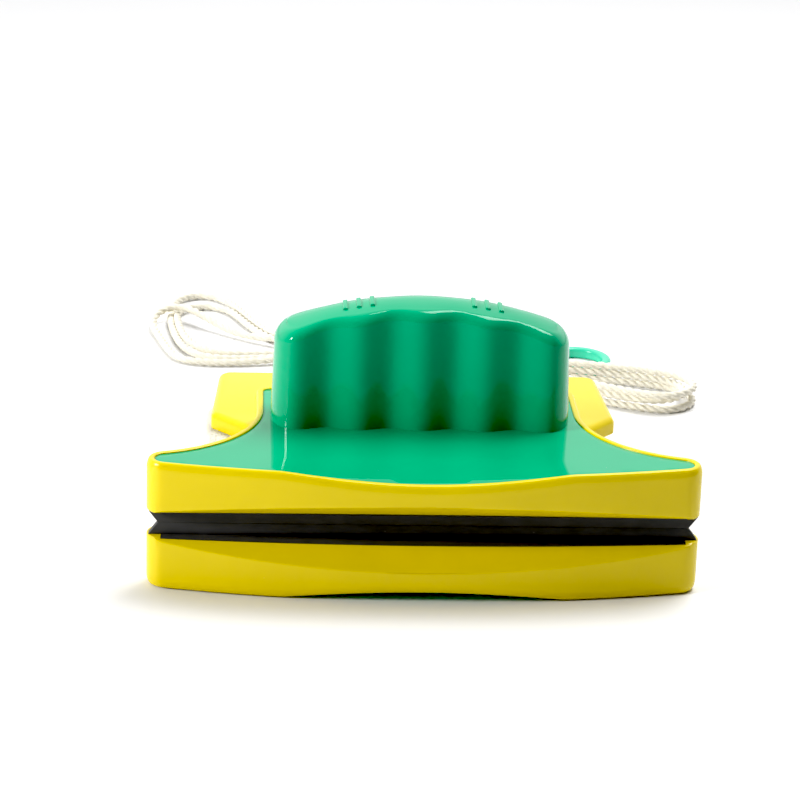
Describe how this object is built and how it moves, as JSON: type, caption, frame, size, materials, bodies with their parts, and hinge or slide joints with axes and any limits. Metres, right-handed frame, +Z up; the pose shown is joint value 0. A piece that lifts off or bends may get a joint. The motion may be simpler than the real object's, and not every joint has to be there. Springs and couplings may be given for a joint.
{
  "type": "magnetic glass cleaner",
  "caption": "Double-sided magnetic glass cleaner: mirrored yellow shells, green covers, ribbed hand grip, rubber blades and cotton pads meeting at the glass, folded safety cord behind.",
  "frame": {"origin": "On the floor under the middle of the body's width and depth, the safety cord and its ring left out. The cleaner lies on the outer half's cover plate.", "axes": "+X to the user's right along the wiping blades, +Y from the bowed front edge to the rear deck, +Z up out of the glass through the inner half and its hand grip."},
  "size_m": [0.2123, 0.3147, 0.0823],
  "materials": {
    "shell_yellow": "glossy moulded",
    "cover_green": "glossy moulded",
    "grip_green": "glossy moulded",
    "magnet": "ground ferrite, matt",
    "steel_plate": "zinc plated sheet",
    "tray_plastic": "moulded, natural",
    "foam": "closed-cell foam",
    "blade_rubber": "smooth",
    "retainer_plastic": "extruded",
    "pad_cotton": "napped cotton",
    "pad_backing": "hook tape",
    "screw_steel": "zinc plated",
    "grommet_metal": "nickel plated",
    "cord_cotton": "twisted cotton",
    "tie_string": "twisted cotton",
    "ring_plastic": "glossy moulded"
  },
  "bodies": {
    "outer_half": {"outer_shell": "shell_yellow", "outer_cover": "cover_green", "outer_magnets": "magnet", "outer_yoke": "steel_plate", "outer_magnet_tray": "tray_plastic", "outer_foam_spacer": "foam", "outer_blade": "blade_rubber", "outer_blade_retainer": "retainer_plastic", "outer_pad": "pad_cotton", "outer_pad_backing": "pad_backing", "outer_case_screws": "screw_steel", "cord_grommet": "grommet_metal", "cord_knot": "cord_cotton", "cord_lead": "cord_cotton", "cord_hank": "cord_cotton", "cord_tie": "tie_string", "cord_tail": "cord_cotton", "ring_knot": "cord_cotton", "finger_ring": "ring_plastic"},
    "inner_half": {"inner_shell": "shell_yellow", "inner_cover": "cover_green", "hand_grip": "grip_green", "inner_magnets": "magnet", "inner_yoke": "steel_plate", "inner_magnet_tray": "tray_plastic", "inner_foam_spacer": "foam", "inner_blade": "blade_rubber", "inner_blade_retainer": "retainer_plastic", "inner_pad": "pad_cotton", "inner_pad_backing": "pad_backing", "inner_case_screws": "screw_steel", "grip_screws": "screw_steel"}
  },
  "joints": [
    {"name": "halves_apart", "type": "slide", "parent": "outer_half", "child": "inner_half", "axis": [0, 0, 1], "range_m": [0, 0.08]}
  ]
}
